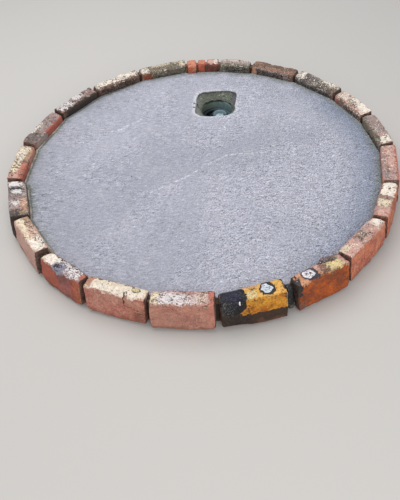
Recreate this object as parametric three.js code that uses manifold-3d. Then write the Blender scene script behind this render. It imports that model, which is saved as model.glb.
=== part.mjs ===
// Round cover of a septic tank, from ground level up: a concrete slab cast inside a kerb of
// fired clay bricks set on edge, with a square opening over the tank's round neck.
// Millimetres, +Z up, +Y to the back. The origin is the middle of the slab's underside.

import * as THREE from "three";
import { mergeVertices } from "three/addons/utils/BufferGeometryUtils.js";
import Module from "manifold-3d";

const wasm = await Module();
wasm.setup();

// Driving dimensions

const gap = 0.3; // left between pieces that touch

const kerbRadius = 800; // to the top outer arris, at the middle of a brick
const brickHeight = 121;
const brickThickness = 64; // a usual brick
const brickLean = 7.5; // degrees, foot outward
const brickArris = 5; // radius of the long arrises
const brickEndBevel = 2.5;
const jointWidth = 4; // at the inner top arris, where the joints are narrowest

// Azimuths of the joints in degrees, counter-clockwise from the front, -90 being the front. The last
// is the first one again, after a whole turn.
const jointAngles = [
  -105.8, -88.7, -70.2, -53.1, -35.2, -19.2, -1.6, 15.5, 31.5, 50, 68, 80.5, 85.5, 89, 93, 111.5, 130, 148,
  167.4, 185.5, 202.9, 220.1, 236.4, 254.2,
];
const looseJoints = { 2: 24, 18: 7, 19: 12, 21: 18 }; // widths of the joints that gape

// Hand-made bricks, hand laid: the ones that differ from the rest in thickness, that stand inward of
// the ring (or outward, where negative), or that are turned, in degrees counter-clockwise.
const oddBricks = {
  0: { thickness: 73, inward: 1, turn: 0.4 },
  1: { thickness: 70, inward: -1, turn: -1.2 },
  2: { thickness: 62, inward: -5, turn: -2 },
  3: { thickness: 60, inward: 2, turn: -0.7 },
  4: { thickness: 61, inward: 3, turn: 2 },
  5: { thickness: 62, inward: 3, turn: -1.2 },
  17: { thickness: 66, inward: 0, turn: -1.5 },
  18: { thickness: 66, inward: -3, turn: -1.8 },
  19: { thickness: 75, inward: -2, turn: -1.2 },
  20: { thickness: 61, inward: 2, turn: -0.5 },
  21: { thickness: 54, inward: 3, turn: 1 },
  22: { thickness: 57, inward: 7, turn: 2.2 },
};

const lumpJoint = 2; // the joint that the black lump fills
const lumpHeight = 113;
const lumpDepth = 44;
const lumpLength = 60; // before the bricks on both sides cut it
const lumpOffset = 3; // outward from the middle of the kerb
const cutBrick = 10; // the three-quarter brick
const bats = [11, 12, 13]; // broken pieces that close the ring

const slabTop = 85;
const slabRadius = 768; // before the bricks press their faces into its rim

const filletBricks = [17, 18, 19, 20, 21, 22]; // bricks with a mortar lip at their inner face
const filletHeight = 7;
const filletInnerRadius = 727;
const filletOuterRadius = 746; // before the bricks cut it
const filletEndGap = 1.5; // at each end, to the next fillet

// The opening in plan, clockwise from its back left corner, with the round of each corner.
const openingCorners = [
  { x: 7, y: 558, round: 42 },
  { x: 202, y: 549, round: 50 },
  { x: 165, y: 329, round: 62 },
  { x: -14, y: 349, round: 42 },
];
const openingTaper = 12; // how far its walls come in from the top to the neck

const neckCentre = { x: 91, y: 449 };
const neckRim = 45; // height of the collar's rim
const neckBore = 73;
const collarWall = 9;
const ledgeTop = 12;
const ledgeBore = 54.5;
const pipeRadius = 36;
const pipeBore = 26;
const pipeTop = 18;
const pipeSide = 28; // degrees, the side of the ledge's bore that the pipe stands against
const roundSegments = 48;

// Materials

const clay = (color) => new THREE.MeshStandardMaterial({ color, roughness: 0.9, metalness: 0 });
const concrete = new THREE.MeshStandardMaterial({ color: 0xa9adb9, roughness: 0.92, metalness: 0 });
const mortar = new THREE.MeshStandardMaterial({ color: 0xa39c86, roughness: 0.95, metalness: 0 });
const slag = new THREE.MeshStandardMaterial({ color: 0x23262a, roughness: 0.55, metalness: 0 });
const collarPlastic = new THREE.MeshStandardMaterial({ color: 0x55625f, roughness: 0.6, metalness: 0 });
const pipePlastic = new THREE.MeshStandardMaterial({ color: 0x7d949b, roughness: 0.5, metalness: 0 });

// One clay colour for each kerb piece, in the order of the joints.
const brickColors = [
  0xbc7662, 0xc08a3c, 0xb5662f, 0xb56a55, 0xc39a86, 0xa78a86, 0xa89792, 0xb79a8c, 0x9b978a, 0xa07f74,
  0x9a988c, 0x8f4a3c, 0xa8553c, 0xb57a66, 0xb0aa98, 0xb8b09c, 0x6f6e6c, 0x9a8a86, 0xc7b690, 0x6d6a72,
  0xc9b48c, 0xb9695c, 0xc08a70,
];

// Solids

/** A closed geometry as a solid that can be joined and cut, moved by a matrix. */
function solidOf(geometry, matrix = new THREE.Matrix4()) {
  const bare = geometry.index ? geometry.toNonIndexed() : geometry.clone();
  bare.deleteAttribute("normal");
  bare.deleteAttribute("uv");
  bare.applyMatrix4(matrix);
  const merged = mergeVertices(bare, 1e-3);
  return new wasm.Manifold(
    new wasm.Mesh({
      numProp: 3,
      vertProperties: new Float32Array(merged.attributes.position.array),
      triVerts: new Uint32Array(merged.index.array),
    }),
  );
}

/** A solid's surface as a geometry. */
function geometryOf(solid) {
  const { vertProperties, triVerts, numProp } = solid.getMesh();
  const points = [];
  for (let i = 0; i < vertProperties.length; i += numProp) {
    points.push(vertProperties[i], vertProperties[i + 1], vertProperties[i + 2]);
  }
  const geometry = new THREE.BufferGeometry();
  geometry.setAttribute("position", new THREE.Float32BufferAttribute(points, 3));
  geometry.setIndex([...triVerts]);
  geometry.computeVertexNormals();
  return geometry;
}

function makeMesh(name, geometry, material) {
  const mesh = new THREE.Mesh(geometry, material);
  mesh.name = name;
  return mesh;
}

/** A closed outline with round corners: straight between them, a curve at each. */
function roundedOutline(corners) {
  const shape = new THREE.Shape();
  corners.forEach((corner, i) => {
    const here = new THREE.Vector2(corner.x, corner.y);
    const before = corners[(i + corners.length - 1) % corners.length];
    const after = corners[(i + 1) % corners.length];
    const start = new THREE.Vector2(before.x, before.y).sub(here).setLength(corner.round).add(here);
    const end = new THREE.Vector2(after.x, after.y).sub(here).setLength(corner.round).add(here);
    if (i === 0) {
      shape.moveTo(start.x, start.y);
    } else {
      shape.lineTo(start.x, start.y);
    }
    shape.quadraticCurveTo(here.x, here.y, end.x, end.y);
  });
  shape.closePath();
  return shape;
}

// Kerb pieces. A piece is drawn as its end view, carried along its length, then stood on its
// inner bottom arris with its foot outward.

const lean = THREE.MathUtils.degToRad(brickLean);

/** A brick of this size with round arrises, grown all round by a clearance. */
function brickGeometry({ length, thickness }, clearance = 0) {
  const across = thickness / 2 + clearance;
  const bottom = -clearance;
  const top = brickHeight + clearance;
  const endView = roundedOutline([
    { x: -across, y: bottom, round: brickArris },
    { x: across, y: bottom, round: brickArris },
    { x: across, y: top, round: brickArris },
    { x: -across, y: top, round: brickArris },
  ]);
  const geometry = new THREE.ExtrudeGeometry(endView, {
    depth: length + 2 * clearance - 2 * brickEndBevel,
    curveSegments: 3,
    bevelSegments: 1,
    bevelSize: brickEndBevel,
    bevelOffset: -brickEndBevel,
    bevelThickness: brickEndBevel,
  });
  geometry.translate(0, 0, -(length / 2 + clearance - brickEndBevel));
  const alongX = new THREE.Matrix4().makeBasis(
    new THREE.Vector3(0, 1, 0),
    new THREE.Vector3(0, 0, 1),
    new THREE.Vector3(1, 0, 0),
  );
  return geometry.applyMatrix4(alongX);
}

/** The free width of a joint on either side of its azimuth. */
function halfJoint(index) {
  return (looseJoints[index] ?? jointWidth) / 2;
}

/** A direction in plan. */
function towards(azimuth) {
  return new THREE.Vector3(Math.cos(azimuth), Math.sin(azimuth), 0);
}

/**
 * A kerb piece between two joints. Its inner top arris runs through a point on its middle azimuth and
 * ends where it meets the free width of the joint on either side.
 */
function kerbPiece(index) {
  const from = THREE.MathUtils.degToRad(jointAngles[index]);
  const to = THREE.MathUtils.degToRad(jointAngles[index + 1]);
  const odd = oddBricks[index] ?? { thickness: brickThickness, inward: 0, turn: 0 };
  const turn = THREE.MathUtils.degToRad(odd.turn);
  const azimuth = (from + to) / 2;
  const halfSpan = (to - from) / 2;
  const arrisRadius = kerbRadius - odd.inward - odd.thickness * Math.cos(lean);
  const halfChord = arrisRadius * Math.sin(halfSpan);
  const toStart = (halfChord - halfJoint(index)) / Math.cos(halfSpan + turn);
  const toEnd = (halfChord - halfJoint(index + 1)) / Math.cos(halfSpan - turn);
  const footOut = (odd.thickness / 2) * Math.cos(lean) + brickHeight * Math.sin(lean);
  const place = new THREE.Group();
  place.position.copy(towards(azimuth).multiplyScalar(arrisRadius));
  place.position.addScaledVector(towards(azimuth + turn), footOut);
  place.position.addScaledVector(towards(azimuth + turn + Math.PI / 2), (toEnd - toStart) / 2);
  place.position.z = (odd.thickness / 2) * Math.sin(lean);
  place.rotation.set(lean, 0, azimuth + turn - Math.PI / 2, "ZYX");
  place.updateMatrix();
  return { index, from, to, length: toStart + toEnd, thickness: odd.thickness, matrix: place.matrix };
}

const kerbPieces = jointAngles.slice(0, -1).map((_, index) => kerbPiece(index));

const bodyOfBricks = kerbPieces
  .map((piece) => solidOf(brickGeometry(piece, gap), piece.matrix))
  .reduce((all, one) => all.add(one));

const cover = new THREE.Group();

let brickNumber = 0;
for (const piece of kerbPieces) {
  let name;
  if (piece.index === cutBrick) {
    name = "kerb_three_quarter_brick";
  } else if (bats.includes(piece.index)) {
    name = `kerb_bat_${piece.index - bats[0] + 1}`;
  } else {
    brickNumber += 1;
    name = `kerb_brick_${String(brickNumber).padStart(2, "0")}`;
  }
  const mesh = makeMesh(name, brickGeometry(piece), clay(brickColors[piece.index]));
  mesh.applyMatrix4(piece.matrix);
  cover.add(mesh);
}

// The black lump in the widest joint, rammed in before the slab was cast.

const lumpPlace = new THREE.Group();
const lumpAzimuth = THREE.MathUtils.degToRad(jointAngles[lumpJoint]);
const kerbMiddle = kerbRadius - (brickThickness / 2) * Math.cos(lean);
const lumpRadius = kerbMiddle + brickHeight * Math.sin(lean) + lumpOffset;
lumpPlace.position.copy(towards(lumpAzimuth).multiplyScalar(lumpRadius));
lumpPlace.rotation.set(lean, 0, lumpAzimuth - Math.PI / 2, "ZYX");
lumpPlace.updateMatrix();

/** The lump as a block that goes on below the ground, its sides grown by a clearance. */
function lumpBody(clearance) {
  const block = new THREE.BoxGeometry(lumpLength, lumpDepth + 2 * clearance, 2 * lumpHeight);
  return solidOf(block, lumpPlace.matrix);
}

const lumpSolid = lumpBody(0).trimByPlane([0, 0, 1], 0).subtract(bodyOfBricks);
cover.add(makeMesh("joint_filling", geometryOf(lumpSolid), slag));

// Cover slab. The bricks were its mould, so its rim takes the shape of their inner faces.

const slabDisc = new THREE.CylinderGeometry(slabRadius, slabRadius, slabTop, 4 * roundSegments);
slabDisc.rotateX(Math.PI / 2);
slabDisc.translate(0, 0, slabTop / 2);

const openingReach = 20; // how far the cutting body goes on above the slab
const taperHeight = slabTop - neckRim;
const openingBody = new THREE.ExtrudeGeometry(roundedOutline(openingCorners), {
  depth: openingReach,
  curveSegments: 6,
  bevelSegments: 1,
  bevelThickness: taperHeight,
  bevelSize: openingTaper,
  bevelOffset: -openingTaper,
});
openingBody.translate(0, 0, slabTop);

const collarRadius = neckBore + collarWall;
const collarSeat = new THREE.CylinderGeometry(
  collarRadius + gap,
  collarRadius + gap,
  2 * neckRim,
  roundSegments,
);
collarSeat.rotateX(Math.PI / 2);
collarSeat.translate(neckCentre.x, neckCentre.y, 0);

const slabSolid = solidOf(slabDisc)
  .subtract(bodyOfBricks)
  .subtract(lumpBody(gap))
  .subtract(solidOf(openingBody))
  .subtract(solidOf(collarSeat));
cover.add(makeMesh("cover_slab", geometryOf(slabSolid), concrete));

// Mortar fillets: the raised lip between the slab's top and the bricks.

/** A flat piece of a ring between two azimuths. */
function ringSector(inner, outer, from, to, height) {
  const shape = new THREE.Shape();
  shape.absarc(0, 0, outer, from, to, false);
  shape.absarc(0, 0, inner, to, from, true);
  return new THREE.ExtrudeGeometry(shape, { depth: height, bevelEnabled: false, curveSegments: 8 });
}

const filletTrim = filletEndGap / filletInnerRadius;
filletBricks.forEach((index, i) => {
  const piece = kerbPieces[index];
  const sector = ringSector(
    filletInnerRadius,
    filletOuterRadius,
    piece.from + filletTrim,
    piece.to - filletTrim,
    filletHeight,
  );
  sector.translate(0, 0, slabTop + gap);
  const solid = solidOf(sector).subtract(bodyOfBricks);
  cover.add(makeMesh(`mortar_fillet_${i + 1}`, geometryOf(solid), mortar));
});

// The tank's neck, standing in the slab: a collar, a ledge inside it and a pipe end on the ledge.

/** A turned ring with a plain rectangular section. */
function ringGeometry(bore, radius, top) {
  const section = [
    new THREE.Vector2(bore, 0),
    new THREE.Vector2(radius, 0),
    new THREE.Vector2(radius, top),
    new THREE.Vector2(bore, top),
    new THREE.Vector2(bore, 0),
  ];
  const geometry = new THREE.LatheGeometry(section, roundSegments);
  geometry.rotateX(Math.PI / 2);
  return geometry;
}

const neck = new THREE.Group();
neck.position.set(neckCentre.x, neckCentre.y, 0);
neck.add(makeMesh("neck_collar", ringGeometry(neckBore, collarRadius, neckRim), collarPlastic));
neck.add(makeMesh("neck_ledge", ringGeometry(ledgeBore, neckBore - gap, ledgeTop), collarPlastic.clone()));
const pipe = makeMesh("neck_pipe", ringGeometry(pipeBore, pipeRadius, pipeTop), pipePlastic);
pipe.position.copy(towards(THREE.MathUtils.degToRad(pipeSide)));
pipe.position.multiplyScalar(ledgeBore - gap - pipeRadius);
neck.add(pipe);
cover.add(neck);

export default cover;
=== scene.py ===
import itertools

import bpy
import numpy as np
from mathutils import Matrix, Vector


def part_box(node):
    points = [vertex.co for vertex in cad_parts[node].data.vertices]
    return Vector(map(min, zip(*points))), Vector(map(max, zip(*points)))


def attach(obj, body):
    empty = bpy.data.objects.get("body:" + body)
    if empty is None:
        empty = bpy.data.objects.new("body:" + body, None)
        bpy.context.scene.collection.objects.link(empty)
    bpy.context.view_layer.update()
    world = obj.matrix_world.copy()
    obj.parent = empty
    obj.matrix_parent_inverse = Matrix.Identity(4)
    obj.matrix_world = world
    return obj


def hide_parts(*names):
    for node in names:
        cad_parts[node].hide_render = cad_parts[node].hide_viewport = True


# Cover slab of a septic tank in its kerb of fired bricks, dressed piece by piece in the order in
# which it was built: kerb, joint filling, slab, mortar lip, neck and the liquid standing in it.

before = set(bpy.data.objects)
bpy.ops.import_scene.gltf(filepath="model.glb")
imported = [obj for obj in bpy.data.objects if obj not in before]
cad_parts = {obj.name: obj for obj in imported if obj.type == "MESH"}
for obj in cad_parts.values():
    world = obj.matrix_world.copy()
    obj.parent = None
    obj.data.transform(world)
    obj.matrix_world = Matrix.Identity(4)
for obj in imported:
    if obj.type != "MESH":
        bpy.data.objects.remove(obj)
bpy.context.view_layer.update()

# View, light and floor
# The object stands on a plain pale floor under a wide soft lamp and a pale sky, with a weaker lamp
# in front of it. The camera looks down on it from a height of 1.6 m, rolled by five degrees.

camera_place = np.array([0.0, -1.9505, 1.6022])
camera_pitch, camera_yaw, camera_roll = 0.81214, -0.01977, -0.08714
focal_share = 575 / 500  # focal length over the picture's long side
sensor_side = 36.0


def linked(name, data):
    """A new object of this data, put in the scene."""
    made = bpy.data.objects.new(name, data)
    bpy.context.scene.collection.objects.link(made)
    return made


def point(seen, place, right, up, away):
    """The camera or lamp put at place with its own three axes along these directions."""
    seen.matrix_world = Matrix([*zip(right, up, away, place), (0, 0, 0, 1)])


forward = np.array([
    np.sin(camera_yaw) * np.cos(camera_pitch),
    np.cos(camera_yaw) * np.cos(camera_pitch),
    -np.sin(camera_pitch),
])
level_right = np.array([np.cos(camera_yaw), -np.sin(camera_yaw), 0.0])
level_up = np.cross(level_right, forward)
right = np.cos(camera_roll) * level_right + np.sin(camera_roll) * level_up
up = np.cos(camera_roll) * level_up - np.sin(camera_roll) * level_right

camera = linked("camera", bpy.data.cameras.new("camera"))
camera.data.sensor_width = sensor_side
camera.data.lens = sensor_side * focal_share
point(camera, camera_place, right, up, -forward)
bpy.context.scene.camera = camera
bpy.context.scene.view_settings.view_transform = "Standard"


def soft_lamp(name, place, width, watts, tint):
    """A square area lamp of this width at place, its face turned towards the middle of the floor."""
    lamp = linked(name, bpy.data.lights.new(name, "AREA"))
    lamp.data.size = width
    lamp.data.energy = watts
    lamp.data.color = tint
    away = np.array(place) / np.linalg.norm(place)
    side = np.cross((0.0, 1.0, 0.0), away)
    side = side / np.linalg.norm(side)
    point(lamp, place, side, np.cross(away, side), away)


soft_lamp("sky_lamp", (-0.9, 0.9, 3.6), 3.0, 78, (1.0, 0.99, 0.98))
soft_lamp("front_lamp", (0.6, -3.4, 2.0), 2.0, 38, (1.0, 0.97, 0.94))

world = bpy.data.worlds.new("pale_sky")
world.use_nodes = True
sky = world.node_tree.nodes["Background"].inputs
sky["Color"].default_value = (0.90, 0.92, 0.96, 1)
sky["Strength"].default_value = 0.56
bpy.context.scene.world = world

floor_half, floor_drop = 9.0, 0.0004
floor_mesh = bpy.data.meshes.new("floor")
floor_signs = [(-1, -1), (1, -1), (1, 1), (-1, 1)]
floor_corners = [(x * floor_half, y * floor_half, -floor_drop) for x, y in floor_signs]
floor_mesh.from_pydata(floor_corners, [], [(0, 1, 2, 3)])
floor = linked("floor", floor_mesh)
floor_material = bpy.data.materials.new("pale_floor")
floor_material.use_nodes = True
floor_shader = floor_material.node_tree.nodes["Principled BSDF"]
floor_shader.inputs["Base Color"].default_value = (0.62, 0.60, 0.57, 1)
floor_shader.inputs["Roughness"].default_value = 0.9
floor_mesh.materials.append(floor_material)

# Kerb bricks
# Nineteen fired clay bricks, a three-quarter brick and three broken bats, hand moulded and burnt in
# a clamp kiln, so that each has its own clay, its own pale skin of ash glaze on the side that stood
# in the flame, and here and there a blob of black melt. They stand on edge, foot outward.

kerb_nodes = sorted(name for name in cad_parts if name.startswith("kerb_"))


def lump_noise(points, size, seed):
    """Smooth random heights from -1 to 1: random values on a lattice of this size, joined by the
    cubic 3f^2 - 2f^3 of the place f between two lattice points."""
    scaled = np.asarray(points) / size
    cell = np.floor(scaled).astype(np.int64)
    share = scaled - cell
    share = share * share * (3 - 2 * share)
    total = np.zeros(scaled.shape[:-1])
    for corner in itertools.product((0, 1), repeat=3):
        key = ((cell + corner) * (73856093, 19349663, 83492791)).sum(-1) + seed * 668265263
        key = ((key ^ (key >> 13)) * 1540483477) & 0xFFFFFFFF
        key = ((key ^ (key >> 15)) * 2246822519) & 0xFFFFFFFF
        total += np.prod(np.where(corner, share, 1 - share), axis=-1) * (key / 0x7FFFFFFF - 1)
    return total


def unit(arrows):
    """Each vector over its own length."""
    return arrows / np.maximum(np.linalg.norm(arrows, axis=-1, keepdims=True), 1e-12)


def headings(angles):
    """Level directions of length one at these angles from +X."""
    return np.stack([np.cos(angles), np.sin(angles)], -1)


def worn_block(size, spacing, arris, wear, seed, melted=None):
    """A worn block as rings from end to end, with its own places as shares of the half size, and with
    the depth of its chips and the way to the nearest arris. Ring t is the section scaled by s(t) and
    set at x(t): s grows from 0 to 1 over the first end face, is 1 along the length and falls to 0
    over the last one. A point q of that sharp box is rounded to core + a * unit(q - core), where a is
    the arris, which varies along the block, and core is q held in the box shrunk by a. Lattice noise
    moves it along that direction, at most skin outward, and takes chips off arrises and corners.
    melted (u, reach, radius) makes the arris rounder round the share u of the half length."""
    half = np.array(size) / 2
    end_share = np.linspace(0, 1, max(4, int(half[1] / spacing)))
    steps = np.linspace(-1, 1, max(6, int(size[0] / spacing)))
    along = half[0] * (steps + 0.12 * np.sin(np.pi * steps))
    scale = np.concatenate([end_share[:-1], np.ones(len(along)), end_share[-2::-1]])
    last_end = np.full(len(end_share) - 1, half[0])
    x = np.concatenate([-last_end, along, last_end])
    per_side = [max(6, int(side / spacing)) for side in (size[1], size[2], size[1], size[2])]
    turn = np.concatenate([i + np.arange(n) / n for i, n in enumerate(per_side)])
    y = half[1] * np.clip(np.interp(turn, range(5), [-1, 1, 1, -1, -1]), -1, 1)
    z = half[2] * np.clip(np.interp(turn, range(5), [-1, -1, 1, 1, -1]), -1, 1)
    sections = [np.broadcast_to(x[:, None], (len(x), len(y))), scale[:, None] * y, scale[:, None] * z]
    sharp = np.stack(sections, -1)
    shift = seed * 0.7
    local_arris = arris * (1 + 0.75 * lump_noise(sharp + shift, 0.05, seed + 5))[..., None]
    if melted:
        softened = np.exp(-(((sharp[..., :1] / half[0] - melted[0]) / melted[1]) ** 4))
        local_arris = local_arris + (melted[2] - local_arris) * softened
    core = np.clip(sharp, local_arris - half, half - local_arris)
    outward = unit(sharp - core)
    place = core + local_arris * outward
    _, depth, far_depth = np.moveaxis(np.sort(half - np.abs(sharp), axis=-1), -1, 0)
    near_arris = np.exp(-((depth / (1.5 * arris)) ** 2))
    near_corner = np.exp(-((depth / 0.016) ** 2) - (far_depth / 0.022) ** 2)
    bow = 0.0022 * lump_noise(place + shift, 0.10, seed)
    ripple = (0.0007 + 0.0014 * wear) * lump_noise(place + shift, 0.027, seed + 1)
    grit = 0.0005 * lump_noise(place + shift, 0.009, seed + 2)
    chip = np.clip(lump_noise(place + shift, 0.024, seed + 3) - 0.1, 0, 1)
    chip += 0.5 * np.clip(lump_noise(place + shift, 0.010, seed + 4) - 0.2, 0, 1)
    broken = np.clip(0.6 + lump_noise(sharp + shift, 0.12, seed + 6), 0, 1.4)
    chip = wear * (near_arris * chip + 0.9 * near_corner * broken)
    skin, chip_depth = 0.0002, 0.012
    push = np.minimum(bow + ripple + grit - 0.0007, skin) - chip_depth * chip
    return place + outward * push[..., None], sharp / half, np.stack([chip, depth, far_depth], -1)


def smooth_object(name, points, faces, kept):
    """An object of these points and faces, with the vectors in kept as vertex attributes."""
    mesh = bpy.data.meshes.new(name)
    mesh.from_pydata(points.tolist(), [], faces)
    mesh.polygons.foreach_set("use_smooth", np.ones(len(mesh.polygons), bool))
    for key, grid in kept.items():
        attribute = mesh.attributes.new(key, "FLOAT_VECTOR", "POINT")
        attribute.data.foreach_set("vector", grid.astype(np.float32).ravel())
    return linked(name, mesh)


def closed_rings(name, rings, **kept):
    """An object of rings of points, each joined to the next, with the first and last ring drawn
    together into one point each. The vectors given by name are kept as vertex attributes."""
    def drawn(grid):
        """The inner rings' values, then the mean of the first ring's and of the last ring's."""
        return np.concatenate([grid[1:-1].reshape(-1, 3), grid[:1].mean(1), grid[-1:].mean(1)])

    count, around = rings.shape[:2]
    ring, step = np.meshgrid(np.arange(count - 3) * around, np.arange(around), indexing="ij")
    onward = (step + 1) % around
    quads = np.stack([ring + step, ring + onward, ring + around + onward, ring + around + step], -1)
    step, onward = step[0], onward[0]
    last = (count - 3) * around
    pole = (count - 2) * around
    first_fan = np.stack([onward, step, np.full(around, pole)], 1)
    last_fan = np.stack([last + step, last + onward, np.full(around, pole + 1)], 1)
    faces = quads.reshape(-1, 4).tolist() + first_fan.tolist() + last_fan.tolist()
    return smooth_object(name, drawn(rings), faces, {key: drawn(grid) for key, grid in kept.items()})


def block_axes(node):
    """Middle, size and axes of a block-shaped node: up and outward are the mean directions of its
    top and outer faces, and along is their cross product, counter-clockwise round the slab."""
    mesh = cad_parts[node].data

    def read(items, key, width):
        """This measure of all the mesh's points or faces."""
        values = np.zeros(len(items) * width)
        items.foreach_get(key, values)
        return values.reshape(-1, width)

    points = read(mesh.vertices, "co", 3)
    normals = read(mesh.polygons, "normal", 3)
    areas = read(mesh.polygons, "area", 1)
    middle = (points.min(0) + points.max(0)) / 2

    def face_direction(towards):
        """The mean direction of the faces that look this way, found in three narrowing steps."""
        for least in (0.96, 0.99, 0.999):
            facing = normals @ towards > least
            towards = unit((normals[facing] * areas[facing]).sum(0))
        return towards

    axis_up = face_direction(np.array([0.0, 0.0, 1.0]))
    axis_out = face_direction(unit(middle * (1, 1, 0)))
    axes = np.stack([np.cross(axis_up, axis_out), axis_out, axis_up])
    spans = points @ axes.T
    low, high = spans.min(0), spans.max(0)
    return ((low + high) / 2) @ axes, high - low, axes


def paint(red, green, blue):
    """A colour given in the 0 to 255 steps of a screen, as the light that it stands for."""
    share = np.array([red, green, blue]) / 255
    light = np.where(share <= 0.04045, share / 12.92, ((share + 0.055) / 1.055) ** 2.4)
    return (*light, 1.0)


kiln_colors = {
    "rose": paint(196, 142, 120), "dusky_rose": paint(172, 118, 102), "pink": paint(216, 172, 158),
    "coral": paint(208, 122, 104), "red": paint(180, 96, 78), "deep_red": paint(126, 64, 52),
    "ember": paint(190, 96, 66), "orange": paint(210, 100, 22), "rust": paint(142, 64, 22),
    "salmon": paint(214, 138, 108), "terracotta": paint(218, 136, 100), "peach": paint(220, 160, 120),
    "ochre": paint(214, 150, 52), "amber": paint(176, 100, 34), "straw": paint(236, 182, 94),
    "butter": paint(232, 212, 156), "cream": paint(240, 224, 194), "chalk": paint(252, 242, 226),
    "white": paint(238, 230, 229), "pearl": paint(252, 247, 252), "ice": paint(224, 232, 242),
    "tan": paint(184, 152, 122), "brown": paint(126, 98, 82), "ash": paint(166, 150, 144),
    "mauve": paint(180, 150, 146), "dusk": paint(152, 146, 164), "violet": paint(112, 104, 116),
    "plum": paint(66, 56, 68), "indigo": paint(36, 34, 62), "slate": paint(102, 102, 100),
    "olive": paint(110, 106, 88), "umber": paint(68, 50, 38), "charcoal": paint(66, 60, 55),
    "soot": paint(42, 36, 33), "melt": paint(14, 16, 24), "earth": paint(122, 76, 56),
    "dirt": paint(60, 43, 35),
}


class Output:
    """What a shader node puts out. The signs + - * / and abs() add the Math node that joins it to
    another output or to a number."""

    def __init__(self, socket):
        self.socket, self.tree = socket, socket.id_data

    def beside(self, name):
        """Another output of the same node."""
        return Output(self.socket.node.outputs[name])

    def __add__(self, other):
        return maths("ADD", self, other)

    def __radd__(self, other):
        return maths("ADD", other, self)

    def __sub__(self, other):
        return maths("SUBTRACT", self, other)

    def __rsub__(self, other):
        return maths("SUBTRACT", other, self)

    def __mul__(self, other):
        return maths("MULTIPLY", self, other)

    def __truediv__(self, other):
        return maths("DIVIDE", self, other)

    def __abs__(self):
        return maths("ABSOLUTE", self)


def lead(value, socket):
    """A number, a colour or another node's output put into this input."""
    if isinstance(value, Output):
        value.tree.links.new(value.socket, socket)
    else:
        socket.default_value = value


def add_node(kind, output, inputs, tree=None, **settings):
    """An output of a new node of this kind, with these inputs and settings, in the given tree or else
    in the tree of its inputs."""
    tree = tree or next(value.tree for value in inputs.values() if isinstance(value, Output))
    made = tree.nodes.new(kind)
    for key, value in settings.items():
        setattr(made, key, value)
    for key, value in inputs.items():
        lead(value, made.inputs[key])
    return Output(made.outputs[output])


def maths(operation, first, second=0.0, clamp=False):
    """first and second put together by a Math node."""
    return add_node("ShaderNodeMath", 0, {0: first, 1: second}, operation=operation, use_clamp=clamp)


def vectors(operation, first, second=(0.0, 0.0, 0.0), output=0):
    """first and second put together by a Vector Math node."""
    return add_node("ShaderNodeVectorMath", output, {0: first, 1: second}, operation=operation)


def distance(place, other):
    """How far one place is from the other."""
    return vectors("DISTANCE", place, other, "Value")


def split(vector):
    """The three parts of a vector."""
    first = add_node("ShaderNodeSeparateXYZ", 0, {0: vector})
    return first, first.beside(1), first.beside(2)


def blend(share, under, over, way="MIX"):
    """The colour over laid on the colour under, by share."""
    return add_node("ShaderNodeMix", 2, {0: share, 6: under, 7: over}, data_type="RGBA", blend_type=way)


def between(share, low, high):
    """The value that lies this share of the way from low to high."""
    return add_node("ShaderNodeMix", 0, {0: share, 2: low, 3: high}, data_type="FLOAT")


def noise(vector, scale, detail=3.0, roughness=0.55, output="Fac"):
    """Cloud noise around one half, with this many lumps a metre."""
    values = {"Vector": vector, "Scale": scale, "Detail": detail, "Roughness": roughness}
    return add_node("ShaderNodeTexNoise", output, values)


def rise(value, low, high):
    """0 below low, 1 above high and a smooth step between them."""
    values = {"Value": value, "From Min": low, "From Max": high}
    return add_node("ShaderNodeMapRange", "Result", values, interpolation_type="SMOOTHSTEP")


def fall(value, low, high):
    """1 below low, 0 above high and a smooth step between them."""
    return 1.0 - rise(value, low, high)


def centred(value, amount, about=1.0):
    """about, and value's way from one half to either side, times amount."""
    return (value - 0.5) * amount + about


def shade(color, amount):
    """The colour made darker or lighter by a factor."""
    grey = add_node("ShaderNodeCombineColor", 0, {0: amount, 1: amount, 2: amount})
    return blend(1.0, color, grey, "MULTIPLY")


def new_material(name):
    """A material, and the place on its object."""
    material = bpy.data.materials.new(name)
    material.use_nodes = True
    return material, add_node("ShaderNodeTexCoord", "Object", {}, material.node_tree)


def surface(material, color, rough, height=None, depth=0.0, strength=1.0):
    """The material's colour and roughness, and where height is given, a relief of this depth."""
    shader = material.node_tree.nodes["Principled BSDF"]
    lead(color, shader.inputs["Base Color"])
    lead(rough, shader.inputs["Roughness"])
    if height:
        bump = {"Height": height, "Distance": depth, "Strength": strength}
        lead(add_node("ShaderNodeBump", "Normal", bump), shader.inputs["Normal"])
    return shader


def effect(name, inputs, outputs):
    """An empty node group: its inputs with their defaults, and its outputs, all by name."""
    tree = bpy.data.node_groups.new(name, "ShaderNodeTree")
    kinds = {float: "NodeSocketFloat", tuple: "NodeSocketColor", list: "NodeSocketVector"}
    for key, value in inputs.items():
        tree.interface.new_socket(key, in_out="INPUT", socket_type=kinds[type(value)]).default_value = value
    for key, kind in outputs.items():
        tree.interface.new_socket(key, in_out="OUTPUT", socket_type=kind)
    taken = tree.nodes.new("NodeGroupInput").outputs
    return tree, {key: Output(taken[key]) for key in inputs}, tree.nodes.new("NodeGroupOutput").inputs


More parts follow.
